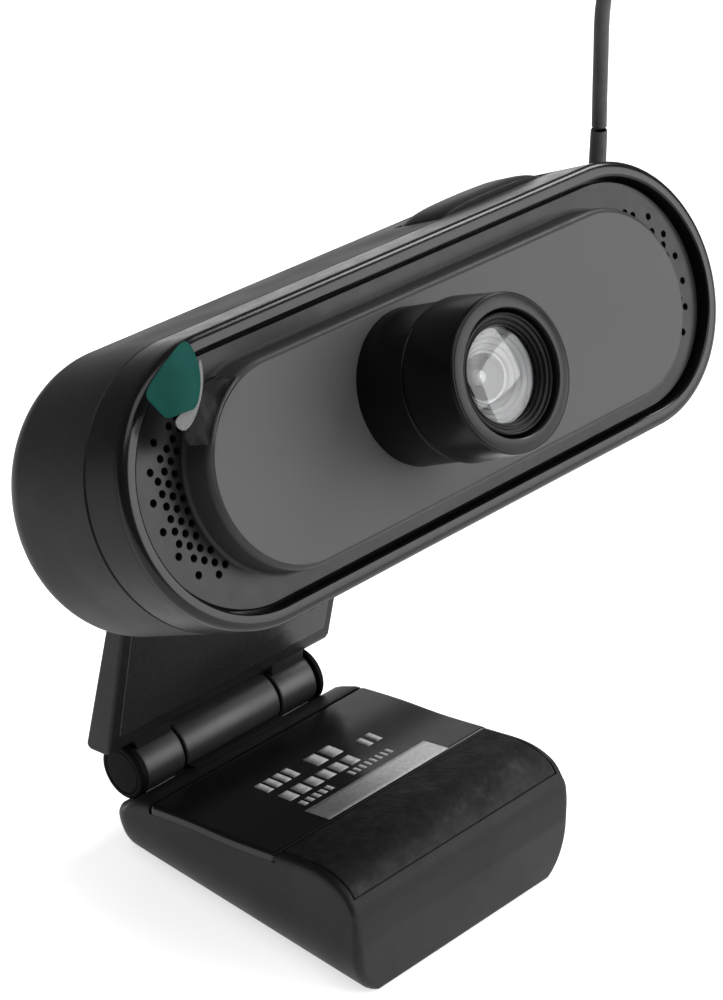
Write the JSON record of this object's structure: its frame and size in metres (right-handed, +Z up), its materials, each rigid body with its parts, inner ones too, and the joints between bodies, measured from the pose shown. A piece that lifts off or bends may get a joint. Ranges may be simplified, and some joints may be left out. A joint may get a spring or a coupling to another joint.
{
  "type": "webcam with folding stand",
  "caption": "Stadium-shaped webcam with a ringed lens, microphone holes and a shutter button, on a hinged neck and a weighted folding foot, with a USB cord.",
  "frame": {"origin": "on the desk under the middle of the webcam's bounding box, cord left out", "axes": "+X along the head's length, to the right as seen from in front; -Y is the side that the lens faces; +Z up"},
  "size_m": [0.2167, 0.0726, 0.1485],
  "materials": {
    "gloss_black": "glossy",
    "satin_black": "satin",
    "clear_film": "clear film",
    "tab_green": "satin",
    "lens_glass": "coated",
    "rubber": "matte",
    "steel": "plated",
    "board_green": "solder mask",
    "sensor_dark": "cover glass",
    "label_print": "printed label",
    "brass": "satin",
    "cable_pvc": "satin sheath"
  },
  "bodies": {
    "head": {"front_bezel": "gloss_black", "front_plate": "gloss_black", "protective_film": "clear_film", "film_pull_tab": "tab_green", "lens_collar": "gloss_black", "collar_nut": "steel", "lens_holder": "satin_black", "ir_filter": "lens_glass", "image_sensor": "sensor_dark", "main_board": "board_green", "cable_socket": "satin_black", "button_switch": "satin_black", "mic_capsule_left": "steel", "mic_capsule_right": "steel", "mic_boot_left": "rubber", "mic_boot_right": "rubber", "rear_shell": "satin_black", "shell_screw_1": "steel", "shell_screw_2": "steel", "shell_screw_3": "steel", "shell_screw_4": "steel", "strain_relief": "rubber", "tilt_bracket": "satin_black", "bracket_screw_1": "steel", "bracket_screw_2": "steel", "cable_run": "cable_pvc", "cable_coil": "cable_pvc", "cable_tail": "cable_pvc", "cable_tie": "rubber", "usb_grip": "satin_black", "usb_shell": "steel"},
    "ring": {"focus_ring": "gloss_black"},
    "lens": {"lens_barrel": "satin_black", "lens_retainer": "satin_black", "front_lens": "lens_glass", "rear_lens": "lens_glass"},
    "button": {"button_cap": "satin_black"},
    "neck": {"neck_frame": "satin_black", "neck_cover": "gloss_black", "tilt_pin": "steel", "hinge_pin": "steel", "hinge_cap_left": "gloss_black", "hinge_cap_right": "gloss_black", "friction_washer_left": "brass", "friction_washer_right": "brass"},
    "foot": {"foot_shell": "satin_black", "foot_cover": "gloss_black", "foot_label": "label_print", "foot_pad": "rubber", "foot_weight": "steel", "foot_screw_1": "steel", "foot_screw_2": "steel", "foot_screw_3": "steel"}
  },
  "joints": [
    {"name": "tilt", "type": "hinge", "parent": "head", "child": "neck", "pos_m": [0, 0.0151, 0.063], "axis": [1, 0, 0], "range_deg": [-30, 60]},
    {"name": "foot_fold", "type": "hinge", "parent": "neck", "child": "foot", "pos_m": [0, 0.0321, 0.0124], "axis": [1, 0, 0], "range_deg": [-40, 80]},
    {"name": "focus_turn", "type": "hinge", "parent": "head", "child": "ring", "pos_m": [-0.0082, -0.01348, 0.08892], "axis": [0, -0.903, 0.4297], "range_deg": [-150, 150]},
    {"name": "focus_travel", "type": "slide", "parent": "head", "child": "lens", "axis": [0, -0.903, 0.4297], "range_m": [-0.0005, 0.0005]},
    {"name": "button_press", "type": "slide", "parent": "head", "child": "button", "axis": [0, -0.4297, -0.903], "range_m": [0, 0.0005], "stiffness_N_per_m": 2000, "springref_m": -0.0004}
  ],
  "couplings": [
    {"joint": "focus_turn", "follows": "focus_travel", "rad_per_m": 5235}
  ]
}
